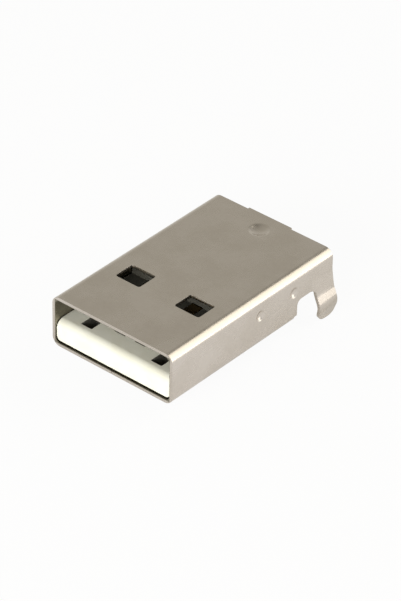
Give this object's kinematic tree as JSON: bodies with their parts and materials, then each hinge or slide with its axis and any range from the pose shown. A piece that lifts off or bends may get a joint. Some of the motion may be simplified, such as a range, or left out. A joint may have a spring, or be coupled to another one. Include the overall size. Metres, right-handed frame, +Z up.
{
  "type": "usb-a plug",
  "caption": "Board-mounted rectangular connector plug: folded metal shell with latching windows and snap-in legs around a moulded tongue that carries flat contacts.",
  "frame": {"origin": "centre of the mouth, where the plug meets its socket", "axes": "X across the plug; +Y from the mouth back to the contact tails, so -Y points into the socket; +Z up, away from the circuit board"},
  "size_m": [0.0132, 0.0203, 0.0058],
  "materials": {
    "shell_metal": "satin nickel plate with fine scuffs",
    "insulator_plastic": "matt moulded, ivory white",
    "contact_metal": "gold plate over copper alloy, stamped"
  },
  "bodies": {
    "root": {"shell": "shell_metal", "insulator": "insulator_plastic", "power_contact": "contact_metal", "data_minus_contact": "contact_metal", "data_plus_contact": "contact_metal", "ground_contact": "contact_metal"}
  },
  "joints": []
}
